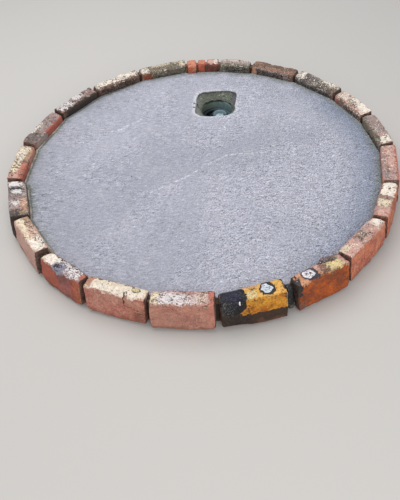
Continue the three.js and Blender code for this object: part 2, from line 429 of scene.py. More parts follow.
# Clay burnt through: two tones in soft clouds, a fine mottle, sand grains, and dark pits where straw
# and grit burnt out.
clay_effect, taken, given = effect(
    "burnt_clay",
    {"Place": [0.0, 0.0, 0.0], "Clay": (0.5, 0.3, 0.2, 1.0), "Burnt": (0.4, 0.2, 0.15, 1.0)},
    {"Color": "NodeSocketColor", "Height": "NodeSocketFloat"},
)
clouds = rise(noise(taken["Place"], 24.0, 6.0, 0.68), 0.36, 0.66)
mottle = noise(taken["Place"], 100.0, 4.0, 0.7)
grains = noise(taken["Place"], 250.0, 2.0, 0.6)
shaded = shade(blend(clouds, taken["Clay"], taken["Burnt"]), centred(mottle, 1.5) * centred(grains, 1.3))
pit = rise(noise(taken["Place"], 150.0, 1.0) + clouds * 0.05, 0.68, 0.74)
lead(blend(pit * 0.6, shaded, kiln_colors["umber"]), given["Color"])
lead(mottle + grains * 0.35 - pit * 0.8, given["Height"])

# A patch of another colour: the inside of a box or an ellipsoid in the block's own shares, first
# bent by noise by a few millimetres. Towards its edge, or where its cover is less than whole, it
# breaks into islands. As a film it is a stain instead, which only thins out.
patch_effect, taken, given = effect(
    "patch",
    {
        "Place": [0.0, 0.0, 0.0], "Share": [0.0, 0.0, 0.0], "Centre": [0.0, 0.0, 0.0],
        "Reach": [1.0, 1.0, 1.0], "Round": 0.0, "Rag": 0.3, "Soft": 0.3, "Cover": 1.0,
        "Grain": 60.0, "Film": 0.0,
    },
    {"Mask": "NodeSocketFloat"},
)
millimetres_as_shares = (1.6, 5.4, 2.9)
bends = vectors("SUBTRACT", noise(taken["Place"], taken["Grain"], 4.0, 0.62, "Color"), (0.5, 0.5, 0.5))
bends = vectors("MULTIPLY", bends, millimetres_as_shares)
bends = add_node("ShaderNodeVectorMath", 0, {0: bends, "Scale": taken["Rag"]}, operation="SCALE")
offset = vectors("SUBTRACT", vectors("ADD", taken["Share"], bends), taken["Centre"])
offset = vectors("DIVIDE", offset, taken["Reach"])
parts = split(vectors("ABSOLUTE", offset))
boxed = maths("MAXIMUM", maths("MAXIMUM", parts[0], parts[1]), parts[2])
away = between(taken["Round"], boxed, vectors("LENGTH", offset, output="Value"))
inside = fall((away - 1.0) / taken["Soft"], -1.0, 1.0)
islands = noise(taken["Place"], taken["Grain"] * 2.4, 4.0, 0.66)
kept = rise(islands - between(inside, 0.74, 0.66 - taken["Cover"] * 0.38), -0.03, 0.03)
film = maths("MULTIPLY", inside, centred(islands, 3.0, 0.65), clamp=True)
lead(between(taken["Film"], kept, film), given["Mask"])

# Specks of ash and iron a few millimetres across, crowded in some places and few in others.
fleck_effect, taken, given = effect(
    "flecks", {"Place": [0.0, 0.0, 0.0], "Amount": 0.4}, {"Mask": "NodeSocketFloat"},
)
crowd = noise(taken["Place"], 32.0, 3.0, 0.6)
least = 0.76 - taken["Amount"] * 0.2 - centred(crowd, 0.6, 0.0)
masks = []
for scale, rarer in ((115.0, 0.0), (215.0, -0.01)):
    specks = noise(taken["Place"], scale, 1.0, 0.5)
    masks.append(rise(specks - (least + rarer), 0.0, 0.05))
lead(maths("MAXIMUM", *masks), given["Mask"])


def top(color, along=0.0, out=0.0, half_along=1.1, half_out=1.1, **more):
    """A patch on the top face that laps a little over its arrises, or all over that face."""
    return {"color": color, "centre": (along, out, 1), "reach": (half_along, half_out, 0.16), **more}


def outer(color, along, height, half_along, half_height, **more):
    """A patch on the face that looks away from the slab."""
    return {"color": color, "centre": (along, 1, height), "reach": (half_along, 0.3, half_height), **more}


def inner(color, along, height, half_along, half_height, **more):
    """A patch on the face towards the slab."""
    return {"color": color, "centre": (along, -1, height), "reach": (half_along, 0.3, half_height), **more}


def end(color, side, reach=0.06, **more):
    """A band round one end of the block, on every face."""
    return {"color": color, "centre": (side, 0, 0), "reach": (reach, 1.5, 1.5), **more}


def stain(face, color, along, across, half_along, half_across, strength, **more):
    """A film on this face, which tints what lies under it."""
    return face(color, along, across, half_along, half_across, film=1.0, strength=strength, **more)


def spill(color, centre, reach, **more):
    """A patch round any place of the block, over its arrises and its worn places."""
    return {"color": color, "centre": centre, "reach": reach, "over": True, **more}


def eye(rim, middle, along, out, half_along, half_out):
    """A round blister of glaze on the top face: a pale speckled middle, off centre in a dark rim."""
    inside = (along - 0.06 * half_along, out - 0.05 * half_out, 1)
    bounds = {"round": 1.0, "rag": 0.13, "soft": 0.12}
    return [
        spill(rim, (along, out, 1), (half_along, half_out, 0.3), rough=0.4, swell=0.3, grain=55.0, **bounds),
        spill(middle, inside, (half_along * 0.72, half_out * 0.7, 0.3), rough=0.35, swell=1.5,
              grain=55.0, **bounds),
        spill("slate", inside, (half_along * 0.6, half_out * 0.6, 0.3), cover=0.25, grain=110.0, **bounds),
    ]


def kiln_material(name, clay, burnt, wear, flecks, frost, patches):
    """A block's finish: clay, its patches in order, pale and dark specks, then bare clay on arrises
    and chips, the glassy patches that lie over these, dirt on both ends, and earth round the foot."""
    material, place = new_material(name)
    share = add_node("ShaderNodeAttribute", "Vector", {}, place.tree, attribute_name="place")
    worn = add_node("ShaderNodeAttribute", "Vector", {}, place.tree, attribute_name="worn")
    chip, to_arris, _ = split(worn)
    along, _, height = split(share)
    tones = {"Place": place, "Clay": kiln_colors[clay], "Burnt": kiln_colors[burnt]}
    bare = add_node("ShaderNodeGroup", "Color", tones, node_tree=clay_effect)
    soft = noise(place, 55.0, 5.0, 0.66)
    fine = noise(place, 150.0, 3.0, 0.66)
    broad = noise(place, 26.0, 1.0)
    tone = centred(soft, 0.8) * centred(fine, 0.9, 0.99)
    thin = rise(noise(place, 80.0, 5.0, 0.7), 0.5, 0.64) * 0.4

    def lay(finish, over):
        """The colour, relief and roughness after the patches that lie over the worn places, or after
        the others, which show the clay where they are thin."""
        color, relief, rough = finish
        for patch in patches:
            if patch.get("over", False) != over:
                continue
            bounds = {"Round": 0.0, "Rag": 0.3, "Soft": 0.35, "Cover": 1.0, "Grain": 60.0, "Film": 0.0}
            bounds = {key: patch.get(key.lower(), usual) for key, usual in bounds.items()}
            bounds |= {"Place": place, "Share": share, "Centre": patch["centre"], "Reach": patch["reach"]}
            mask = add_node("ShaderNodeGroup", "Mask", bounds, node_tree=patch_effect)
            mask = mask * patch.get("strength", 1.0)
            coat = shade(kiln_colors[patch["color"]], tone)
            color = blend(mask, color, coat if over else blend(thin, coat, bare))
            relief = relief + mask * centred(broad, patch.get("lumps", 0.0), patch.get("swell", 0.4))
            rough = between(mask, rough, patch.get("rough", 0.75))
        return color, relief, rough

    color, relief, rough = lay((bare, bare.beside("Height"), 0.93), False)
    upper = rise(height, 0.7, 0.88) * 0.75 + 0.25
    if frost:
        moved = {"Place": vectors("ADD", place, (3.0, 1.0, 2.0)), "Amount": frost}
        pale = add_node("ShaderNodeGroup", "Mask", moved, node_tree=fleck_effect)
        color = blend(pale * upper * 0.85, color, kiln_colors["chalk"])
    specks = add_node("ShaderNodeGroup", "Mask", {"Place": place, "Amount": flecks}, node_tree=fleck_effect)
    dark = blend(rise(soft, 0.4, 0.6), kiln_colors["soot"], kiln_colors["brown"])
    color = blend(specks * upper * 0.85, color, dark)
    rubbed = fall(to_arris + centred(soft, 0.02, 0.0), 0.0005, 0.004)
    rubbed = maths("MAXIMUM", rubbed * (0.25 + 0.4 * wear), rise(chip, 0.08, 0.35))
    color, relief, rough = lay((blend(rubbed * 0.75, color, bare), relief, rough), True)
    at_end = maths("MULTIPLY", rise(abs(along), 0.985, 1.0), centred(soft, 1.6, 0.75), clamp=True)
    color = blend(at_end * rise(rough, 0.1, 0.5), color, shade(kiln_colors["dirt"], tone))
    foot = height + centred(noise(place, 34.0, 4.0), 1.3, 0.0)
    color = blend(fall(foot, -1.0, -0.6) * 0.6, color, kiln_colors["earth"])
    shader = surface(material, color, rough, relief, 0.0024, 0.85)
    shader.inputs["IOR"].default_value = 1.6
    molten = any(patch.get("rough", 1.0) < 0.15 for patch in patches)
    shader.inputs["Specular IOR Level"].default_value = 0.3 if molten else 0.5
    return material


# Each block's clay and the tone that it burnt to, its wear, its shares of dark and pale specks, and
# its patches in the order in which they are laid.
blocks = {
    "kerb_brick_01": ("rose", "dusky_rose", 0.3, 0.75, 0.0, [
        top("pink", 0.0, 0.0, 1.1, 1.2, soft=0.15),
        top("coral", 0.0, -0.9, 0.8, 0.14, cover=0.7, strength=0.8),
        top("cream", -0.78, 0.2, 0.3, 0.85, cover=0.95),
        top("white", -0.14, 0.15, 0.6, 0.8, cover=0.9),
        top("mauve", 0.25, -0.6, 0.5, 0.25, cover=0.6),
        stain(top, "coral", 0.6, 0.0, 0.4, 0.9, 0.55),
        top("chalk", 0.6, 0.0, 0.3, 0.85, cover=0.42, grain=100.0),
        top("coral", 0.94, 0.1, 0.12, 1.1, cover=0.85),
        stain(outer, "coral", 0.9, 0.3, 0.13, 0.9, 0.7),
        stain(outer, "pink", 0.1, -0.2, 0.9, 0.6, 0.3),
        stain(outer, "deep_red", -0.5, -0.9, 0.6, 0.25, 0.35),
        stain(outer, "brown", -0.6, 0.0, 0.4, 0.9, 0.2),
        outer("deep_red", 0.3, -0.1, 0.5, 0.5, cover=0.36, strength=0.5),
        outer("coral", 0.0, 0.0, 1.0, 1.0, cover=0.4, grain=45.0, strength=0.35),
    ]),
    "kerb_brick_02": ("ochre", "amber", 0.25, 0.6, 0.0, [
        top("straw", 0.4, 0.0, 0.8, 1.1, cover=0.97),
        top("pink", 0.15, -0.85, 0.4, 0.3, cover=0.6),
        top("butter", -0.06, 0.4, 0.14, 0.6, cover=0.8),
        top("slate", -0.9, 0.0, 0.2, 1.0, cover=0.75),
        outer("umber", 0.2, -0.88, 1.3, 0.74, rag=0.07, soft=0.12, over=True),
        outer("umber", -1.0, 0.2, 0.56, 1.4, round=0.3, soft=0.2, over=True),
        stain(outer, "soot", 0.3, -0.75, 0.9, 0.5, 0.22, over=True),
        outer("slate", -0.8, -0.3, 0.35, 0.9, cover=0.4, over=True),
        outer("soot", -0.6, -0.4, 0.6, 0.9, cover=0.42, soft=0.5, over=True),
        end("umber", 1.0, 0.07, cover=0.7, over=True),
        outer("cream", 0.975, 0.35, 0.02, 0.6, cover=0.55, rag=0.06, over=True),
        spill("melt", (-0.6, 0.3, 0.8), (0.4, 1.9, 0.8), round=0.85, rag=0.16, soft=0.08, rough=0.12,
              swell=2.5, lumps=6.0),
        spill("slate", (-0.8, 0.8, 0.5), (0.25, 1.0, 0.7), cover=0.3, grain=95.0, rough=0.3),
        spill("indigo", (-0.62, 0.2, 0.95), (0.3, 1.2, 0.4), round=1.0, rag=0.3, soft=0.5, rough=0.1,
              cover=0.5),
        # A small white patch on the melt's front arris, where a highlight shows: painted highlight.
        spill("white", (-0.43, 0.95, 0.82), (0.026, 0.3, 0.14), round=1.0, rag=0.1, soft=0.3, rough=0.1),
        *eye("soot", "ice", 0.46, -0.05, 0.23, 0.92),
    ]),
    "kerb_brick_03": ("orange", "rust", 0.4, 0.62, 0.0, [
        top("tan", cover=0.92),
        top("peach", -0.72, 0.1, 0.34, 1.0, cover=0.85),
        top("pink", 0.02, -0.3, 0.34, 0.6, cover=0.75),
        top("peach", 0.1, 0.6, 0.3, 0.4, cover=0.7),
        top("brown", 0.15, 0.0, 0.2, 0.8, cover=0.55),
        top("butter", 0.56, 0.25, 0.3, 0.75, cover=0.9),
        top("pink", 0.92, 0.3, 0.12, 0.9, cover=0.85),
        top("slate", 0.5, -0.75, 0.3, 0.35, cover=0.6),
        *eye("plum", "pearl", -0.38, -0.05, 0.28, 1.0),
        top("plum", -0.3, 0.75, 0.22, 0.3, cover=0.55, over=True),
        top("soot", -0.455, -0.27, 0.036, 0.13, round=1.0, rag=0.02, soft=0.1, over=True),
        top("soot", -0.325, -0.14, 0.036, 0.13, round=1.0, rag=0.02, soft=0.1, over=True),
        top("umber", 0.34, -0.8, 0.3, 0.3, cover=0.6, over=True),
        spill("melt", (-1.0, 0.6, 0.72), (0.21, 1.2, 0.56), round=0.6, rag=0.4, soft=0.4, cover=0.95,
              rough=0.4),
        stain(outer, "orange", 0.25, 0.1, 0.5, 0.8, 0.35),
        stain(outer, "umber", 0.05, 0.75, 0.5, 0.3, 0.5),
        stain(outer, "rust", -0.3, -0.1, 0.26, 1.1, 0.5),
        stain(outer, "rust", 0.8, -0.2, 0.34, 0.8, 0.75),
        stain(outer, "umber", -0.75, -0.4, 0.34, 0.8, 0.45),
        outer("umber", 0.5, 0.1, 0.5, 0.5, cover=0.42, strength=0.45),
        outer("slate", -0.9, -0.7, 0.2, 0.5, cover=0.5, strength=0.6),
        end("umber", -1.0, 0.03, cover=0.9, over=True),
    ]),
    "kerb_brick_04": ("terracotta", "red", 0.45, 0.45, 0.5, [
        top("pink", 0.0, 0.0, 1.1, 1.2, cover=0.95),
        top("mauve", 0.2, 0.0, 0.6, 0.9, cover=0.5),
        top("cream", -0.78, -0.4, 0.2, 0.5, cover=0.6, grain=90.0),
        top("olive", 0.02, -0.2, 0.24, 0.7, cover=0.5),
        top("slate", 0.1, 0.0, 0.12, 0.4, cover=0.38, strength=0.5),
        top("pink", 0.45, 0.3, 0.3, 0.7, cover=0.7),
        top("chalk", 0.8, -0.1, 0.2, 0.85, cover=0.85),
        stain(outer, "ember", -0.1, -0.2, 0.6, 0.8, 0.2),
        stain(outer, "salmon", 0.6, 0.3, 0.4, 0.6, 0.4),
    ]),
    "kerb_brick_05": ("terracotta", "red", 0.5, 0.5, 0.2, [
        top("mauve", -0.5, 0.0, 0.6, 1.1, cover=0.95),
        top("pink", -0.6, 0.3, 0.5, 0.8, cover=0.8),
        top("cream", -0.26, 0.1, 0.2, 0.85, cover=0.88),
        top("chalk", 0.55, 0.05, 0.46, 1.0, cover=0.94),
        stain(top, "olive", 0.03, -0.1, 0.1, 1.0, 0.6),
        top("charcoal", 0.6, 0.1, 0.05, 0.18, round=1.0, cover=0.8),
    ]),
    "kerb_brick_06": ("salmon", "dusky_rose", 0.35, 0.5, 0.45, [
        top("mauve", 0.0, -0.2, 1.1, 1.0),
        top("pink", 0.3, 0.1, 0.9, 0.8, cover=0.7),
        top("slate", -0.3, -0.5, 0.8, 0.4, cover=0.42, grain=90.0, strength=0.6),
        top("coral", -0.1, 0.95, 1.0, 0.24, cover=0.8),
    ]),
    "kerb_brick_07": ("dusky_rose", "brown", 0.5, 0.65, 0.5, [
        top("mauve", 0.1, 0.0, 1.1, 1.2),
        top("ash", 0.3, 0.0, 0.8, 1.0, cover=0.5),
        top("pink", -0.72, 0.1, 0.26, 0.9, cover=0.95),
        top("chalk", -0.72, 0.15, 0.22, 0.8, cover=0.8),
        top("olive", -0.1, -0.8, 0.8, 0.35, cover=0.6),
        inner("olive", 0.0, 0.4, 1.1, 0.9, cover=0.85),
        inner("soot", -0.3, 0.2, 0.6, 0.5, cover=0.55),
    ]),
    "kerb_brick_08": ("dusky_rose", "red", 0.35, 0.42, 0.8, [
        top("pink"),
        top("pink", 0.4, 0.2, 0.7, 0.8, cover=0.75),
        stain(top, "cream", 0.2, 0.0, 1.1, 1.1, 0.22),
        top("chalk", -0.45, 0.4, 0.6, 0.7, cover=0.85),
        top("soot", -0.05, -0.1, 0.35, 0.6, cover=0.38, grain=80.0),
        top("chalk", 0.55, 0.1, 0.35, 0.7, cover=0.5, grain=80.0),
        inner("red", 0.82, 0.6, 0.3, 0.8),
        inner("brown", -0.1, 0.5, 0.9, 0.9, cover=0.8),
        inner("soot", -0.4, 0.3, 0.7, 0.5, cover=0.55),
    ]),
    "kerb_brick_09": ("brown", "umber", 0.5, 0.9, 0.65, [
        top("ash"),
        top("slate", 0.1, -0.15, 0.6, 0.8, cover=0.65, grain=80.0),
        top("olive", -0.4, -0.2, 0.5, 0.8, cover=0.5, grain=90.0),
        top("chalk", 0.82, 0.15, 0.22, 0.9, cover=0.92),
        top("brown", -0.86, 0.0, 0.2, 1.0, cover=0.6),
        top("chalk", -0.5, 0.55, 0.45, 0.5, cover=0.88),
        top("cream", -0.86, 0.4, 0.12, 0.5, cover=0.7),
        inner("slate", 0.2, 0.5, 0.9, 0.9, cover=0.9),
        inner("soot", 0.1, 0.0, 1.0, 0.8, cover=0.68),
    ]),
    "kerb_brick_10": ("brown", "umber", 0.4, 0.65, 0.2, [
        top("tan", 0.0, 0.1, 1.1, 1.0, cover=0.5),
        stain(top, "dusky_rose", 0.0, 0.1, 1.1, 1.0, 0.6),
        top("olive", -0.2, 0.2, 0.8, 0.4, cover=0.42),
        top("cream", 0.1, -0.2, 0.8, 0.2, cover=0.4),
        top("rose", -0.1, -0.5, 0.9, 0.3, cover=0.6),
        stain(top, "brown", 0.0, 0.1, 1.1, 1.0, 0.22),
        inner("ash", 0.1, 0.6, 0.9, 0.7, cover=0.72),
        inner("slate", 0.2, 0.6, 0.8, 0.5, cover=0.42),
        inner("soot", 0.2, 0.3, 0.9, 0.7, cover=0.56),
        inner("peach", 0.9, 0.7, 0.16, 0.5, cover=0.8),
    ]),
    "kerb_three_quarter_brick": ("olive", "brown", 0.6, 0.6, 0.5, [
        top("ash", 0.0, 0.2, 1.1, 1.0, cover=0.9),
        top("chalk", 0.2, 0.7, 0.9, 0.35, cover=0.6, grain=80.0),
        top("pink", 0.0, 0.9, 1.0, 0.3, cover=0.6),
        top("olive", 0.0, -0.7, 1.1, 0.5, cover=0.8),
        inner("olive", 0.0, 0.5, 1.1, 0.9, cover=0.95),
        inner("slate", 0.1, 0.5, 0.9, 0.8, cover=0.4),
        inner("soot", -0.1, 0.4, 0.9, 0.8, cover=0.44),
    ]),
    "kerb_bat_1": ("deep_red", "umber", 0.3, 0.3, 0.0, [
        top("pink", 0.0, 0.4, 1.1, 0.7, cover=0.85),
        top("chalk", -0.6, 0.3, 0.5, 0.6, cover=0.55),
    ]),
    "kerb_bat_2": ("ember", "deep_red", 0.3, 0.3, 0.0, [top("salmon", 0.0, 0.4, 1.0, 0.6, cover=0.7)]),
    "kerb_bat_3": ("salmon", "ember", 0.3, 0.3, 0.0, [top("salmon", 0.0, 0.1, 1.1, 0.9, cover=0.8)]),
    "kerb_brick_11": ("brown", "olive", 0.6, 0.75, 0.5, [
        top("tan"),
        top("olive", -0.1, -0.2, 0.9, 0.9, cover=0.6, grain=80.0),
        top("cream", -0.2, 0.7, 0.9, 0.4, cover=0.5),
        top("chalk", 0.8, 0.1, 0.24, 1.0, cover=0.8),
        top("cream", -0.9, 0.3, 0.16, 0.8, cover=0.75),
        stain(top, "olive", 0.0, 0.0, 1.1, 1.1, 0.18),
        inner("olive", -0.2, 0.5, 0.9, 0.7, cover=0.7),
        inner("rust", 0.76, 0.5, 0.22, 0.7),
        inner("soot", -0.2, 0.2, 0.7, 0.4, cover=0.55),
    ]),
    "kerb_brick_12": ("brown", "dusky_rose", 0.5, 0.8, 0.3, [
        top("mauve", cover=0.95),
        top("chalk", 0.1, 0.35, 1.1, 0.75, cover=0.9),
        top("brown", 0.0, -0.75, 1.0, 0.35, cover=0.65),
        inner("brown", 0.0, 0.5, 1.1, 0.8, cover=0.9),
        inner("umber", 0.1, 0.3, 1.1, 0.9, cover=0.6),
        inner("soot", 0.4, 0.2, 0.9, 0.8, cover=0.62),
        stain(inner, "umber", 0.2, 0.4, 1.0, 0.9, 0.3),
    ]),
    "kerb_brick_13": ("umber", "brown", 0.6, 0.9, 0.3, [
        top("ash", -0.1, 0.2, 1.0, 0.8, cover=0.56),
        top("white", 0.58, 0.3, 0.36, 0.8, cover=0.88),
        top("white", -0.15, 0.45, 0.24, 0.5, cover=0.8),
        top("mauve", -0.7, 0.0, 0.3, 0.9, cover=0.7),
        inner("umber", 0.1, 0.6, 1.1, 0.9, over=True),
        inner("soot", 0.1, 0.5, 1.0, 0.7, cover=0.62, over=True),
        stain(inner, "umber", 0.1, 0.5, 1.1, 0.9, 0.4, over=True),
        inner("brown", 0.88, 0.4, 0.14, 0.8, cover=0.5, over=True),
        top("rust", 0.94, -0.2, 0.1, 0.8, cover=0.45),
    ]),
    "kerb_brick_14": ("dusky_rose", "brown", 0.55, 0.75, 0.2, [
        top("mauve", 0.0, 0.1, 1.1, 1.0),
        top("ash", 0.1, 0.2, 0.8, 0.8, cover=0.6),
        top("slate", 0.66, 0.0, 0.4, 1.0, cover=0.65, film=0.5),
        top("chalk", 0.1, 0.8, 0.36, 0.3, cover=0.8),
        inner("red", -0.4, 0.7, 0.55, 0.6, over=True),
        inner("ash", 0.5, 0.7, 0.4, 0.5, cover=0.75),
    ]),
    "kerb_brick_15": ("rose", "red", 0.45, 0.75, 0.0, [
        top("tan"),
        top("cream", -0.15, 0.25, 0.85, 0.8, cover=0.88),
        top("chalk", -0.4, 0.35, 0.5, 0.5, cover=0.48),
        top("tan", 0.0, -0.6, 0.5, 0.4, cover=0.8),
        top("coral", 0.5, -0.5, 0.5, 0.5, cover=0.75, film=0.5),
        top("pink", 0.85, 0.4, 0.2, 0.7, cover=0.62),
        top("soot", 0.0, 0.3, 0.5, 0.5, cover=0.3, grain=45.0),
        inner("rose", -0.6, 0.7, 0.4, 0.6),
        inner("red", 0.6, 0.8, 0.45, 0.5),
    ]),
    "kerb_brick_16": ("violet", "charcoal", 0.5, 0.7, 0.4, [
        top("ash"),
        top("slate", -0.2, 0.2, 0.5, 0.8, cover=0.4),
        top("melt", -0.56, 0.2, 0.09, 0.8, cover=0.65, rough=0.3),
        top("mauve", 0.5, 0.0, 0.6, 1.0, cover=0.6),
        top("peach", 0.5, -0.6, 0.45, 0.45, cover=0.7, film=0.6),
        top("charcoal", 0.85, 0.3, 0.18, 0.8, cover=0.7),
        top("tan", 0.9, -0.5, 0.16, 0.5, cover=0.7),
        top("white", -0.81, 0.1, 0.14, 0.76, rough=0.35, round=0.5, grain=80.0, over=True),
        top("white", -0.37, 0.05, 0.12, 0.54, rough=0.35, round=0.5, rag=0.2, grain=80.0, over=True),
        top("white", 0.28, 0.35, 0.13, 0.4, rough=0.35, round=0.8, grain=80.0, over=True),
    ]),
    "kerb_brick_17": ("rose", "pink", 0.4, 0.4, 0.0, [
        top("cream", 0.0, 0.1, 1.1, 1.1, cover=0.95),
        top("tan", -0.6, -0.5, 0.45, 0.5, cover=0.7),
        top("pink", 0.0, -0.3, 0.3, 0.6, cover=0.8, film=0.6),
        top("chalk", 0.62, 0.1, 0.36, 0.95, cover=0.95),
        top("charcoal", 0.0, -0.5, 0.9, 0.5, cover=0.3),
        stain(outer, "pink", 0.0, 0.2, 1.1, 0.9, 0.95),
        stain(outer, "dusky_rose", 0.3, -0.5, 0.5, 0.4, 0.35),
        end("brown", 1.0, 0.04),
    ]),
    "kerb_brick_18": ("red", "deep_red", 0.5, 0.28, 0.0, [
        top("chalk", -0.5, 0.0, 0.6, 1.15, cover=0.97),
        top("white", 0.35, 0.0, 0.6, 1.15, cover=0.97),
        stain(top, "pearl", 0.4, 0.0, 0.5, 1.1, 0.4),
        top("charcoal", 0.2, -0.85, 0.9, 0.3, cover=0.5),
        top("soot", 0.4, 0.1, 0.6, 1.0, cover=0.3, grain=85.0),
        top("coral", 0.92, -0.3, 0.12, 0.8, cover=0.85),
        stain(outer, "violet", 0.2, 0.0, 0.3, 1.3, 0.38),
        stain(outer, "amber", 0.86, 0.0, 0.22, 1.3, 0.38),
        end("tan", 1.0, 0.04, film=1.0, strength=0.6, over=True),
        stain(outer, "ember", -0.6, 0.1, 0.5, 0.9, 0.5),
        spill("dusk", (-0.09, 0.55, 0.9), (0.27, 0.85, 0.42), round=0.9, rag=0.2, soft=0.25, rough=0.22,
              swell=2.0),
        spill("melt", (-0.13, 0.5, 0.95), (0.18, 0.6, 0.3), round=1.0, rag=0.3, soft=0.5, rough=0.2,
              cover=0.6),
    ]),
    "kerb_brick_19": ("rose", "red", 0.4, 0.22, 0.0, [
        top("cream", 0.08, 0.1, 1.02, 1.1),
        stain(top, "chalk", 0.1, 0.2, 0.9, 0.9, 0.6),
        stain(top, "butter", 0.1, -0.4, 0.9, 0.5, 0.35),
        stain(top, "pearl", 0.1, 0.1, 0.9, 0.9, 0.3),
        top("brown", -0.1, -0.9, 0.8, 0.18, cover=0.5),
        top("rose", -0.9, -0.3, 0.14, 0.9),
        *eye("olive", "butter", 0.6, -0.3, 0.13, 0.4),
        top("olive", 0.36, 0.8, 0.06, 0.4, cover=0.8),
        stain(outer, "pink", -0.2, 0.1, 1.0, 0.9, 0.35),
        stain(outer, "ember", 0.7, -0.3, 0.4, 0.8, 0.5),
        stain(outer, "coral", -0.4, -0.5, 0.6, 0.5, 0.3),
        outer("deep_red", -0.1, -0.1, 1.0, 0.9, cover=0.34, grain=45.0, strength=0.35),
        outer("brown", 0.85, -0.4, 0.2, 0.7, cover=0.5, strength=0.6),
        stain(outer, "deep_red", 0.85, -0.55, 0.26, 0.4, 0.5),
        outer("soot", 0.48, 0.2, 0.13, 0.03, rag=0.1, strength=0.7),
        outer("soot", 0.68, 0.08, 0.12, 0.03, rag=0.1, strength=0.6),
        outer("soot", 0.84, -0.12, 0.1, 0.04, rag=0.1, strength=0.6),
        spill("soot", (0.34, 1.0, 0.62), (0.018, 0.4, 0.42), rag=0.12, soft=0.4, swell=-3.0),
    ]),
}

block_spacing, block_arris = 0.0034, 0.005
end_splay, kerb_radius = 0.5, 0.78
melted_arrises = {"kerb_brick_02": (-0.62, 0.42, 0.021)}
for number, name in enumerate(sorted(blocks)):
    clay, burnt, wear, flecks, frost, patches = blocks[name]
    middle, size, axes = block_axes(name)
    arris = block_arris * (1 + wear)
    rings, shares, worn = worn_block(size, block_spacing, arris, wear, number + 1, melted_arrises.get(name))
    rings[..., 0] *= 1 + end_splay / kerb_radius * (rings[..., 1] + size[1] / 2)
    brick = closed_rings("worn_" + name, rings @ axes + middle, place=shares, worn=worn)
    brick.data.materials.append(kiln_material("fired_" + name, clay, burnt, wear, flecks, frost, patches))
    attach(brick, "root")
    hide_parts(name)


def tapered(count, ends):
    """Thickness of a run at each of its places: the root of the way to the nearer end over this
    number of places, from almost 0 to 1."""
    place = np.arange(count)
    return np.clip(np.minimum(place, place[::-1]) / ends, 0.02, 1) ** 0.5


# A blister of glaze swelled over the inner top arris of the third brick and ran along it.
bearer_middle, bearer_size, bearer_axes = block_axes("kerb_brick_03")
blister_steps, blister_sides = 70, 24
blister_sunk, blister_flatness = 0.006, 0.55
run = np.linspace(0.16, 0.96, blister_steps)
swell = (0.0055 + 0.0125 * np.exp(-(((run - 0.42) / 0.14) ** 2))) * tapered(blister_steps, 7)
turn = np.linspace(0, 2 * np.pi, blister_sides, endpoint=False)
rings = np.stack([
    np.broadcast_to(run[:, None] * bearer_size[0] / 2, (blister_steps, blister_sides)),
    -bearer_size[1] / 2 - 0.001 + swell[:, None] * np.cos(turn),
    bearer_size[2] / 2 - blister_sunk + blister_flatness * swell[:, None] * np.sin(turn),
], -1)
rings[..., 1:] *= 1 + 0.02 * lump_noise(rings, 0.012, 71)[..., None] * (swell / swell.max())[:, None, None]
shares, unworn = rings / bearer_size * 2, rings * 0 + (0, 1, 0)
blister = closed_rings("glaze_blister", rings @ bearer_axes + bearer_middle, place=shares, worn=unworn)
blister.data.materials.append(kiln_material("blister_glaze", "plum", "mauve", 0.0, 0.7, 0.3, [
    top("brown", 0.8, -1.0, 0.4, 1.0, cover=0.5),
    top("mauve", 0.42, -1.1, 0.12, 0.45, round=1.0, rag=0.2, cover=0.8, rough=0.4),
    top("dusk", 0.42, -1.1, 0.2, 0.6, round=1.0, cover=0.45, rough=0.3),
    top("soot", 0.42, -1.1, 0.06, 0.2, round=1.0, cover=0.6),
]))
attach(blister, "root")
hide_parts("kerb_brick_03")

# Joint filling
# A lump of black kiln melt, rammed into the one wide joint between two front bricks. It is glassy
# where it broke and dull where earth sticks to it.

lump_middle, lump_size, lump_axes = block_axes("joint_filling")
lump_size = lump_size * (0.62, 1, 1) - (0, 0.004, 0.004)
lump_spacing, lump_arris, lump_wear = 0.003, 0.010, 0.9
lump_splay, dent = 0.3, 0.003
rings, shares, worn = worn_block(lump_size, lump_spacing, lump_arris, lump_wear, 61)
rings[..., 0] *= 1 + lump_splay * shares[..., 1]
rings -= unit(rings) * dent * (1 + lump_noise(rings, 0.018, 62))[..., None]
lump = closed_rings("black_lump", rings @ lump_axes + lump_middle, place=shares, worn=worn)
lump.data.materials.append(kiln_material("black_melt", "melt", "charcoal", 0.0, 0.2, 0.0, [
    outer("olive", 0.0, -0.7, 1.1, 0.5, cover=0.45),
    spill("melt", (0, 0, 0.4), (1.2, 1.2, 0.8), cover=0.6, rough=0.25, over=False),
]))
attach(lump, "root")
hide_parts("joint_filling")

# Earth in the joints
# The bricks were laid dry, and earth has packed the inner half of each joint to a finger's breadth
# under their tops, and brick crumbs those at the bats. Each is as wide as its joint, and wider out.

face_middles, face_sizes, face_axes = map(np.array, zip(*map(block_axes, kerb_nodes)))
face_halves = face_sizes / 2
slab_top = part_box("cover_slab")[1].z
kerb_top = max(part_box(name)[1].z for name in kerb_nodes)
earth_depth, earth_inset, earth_lap, earth_splay = 0.030, 0.013, 0.015, 0.2
earth_spacing, earth_arris, earth_wear = 0.005, 0.0015, 0.4
crumb_drop, back_drop, front_drop, drop_step = 0.006, 0.011, 0.022, 0.006
back_from, beside_lump = 0.5, 0.06
joint_earth = kiln_material("joint_earth", "dirt", "soot", 0.0, 0.3, 0.0, [top("brown", cover=0.5)])
brick_crumbs = kiln_material("brick_crumbs", "brown", "deep_red", 0.0, 0.6, 0.0, [top("red", cover=0.6)])

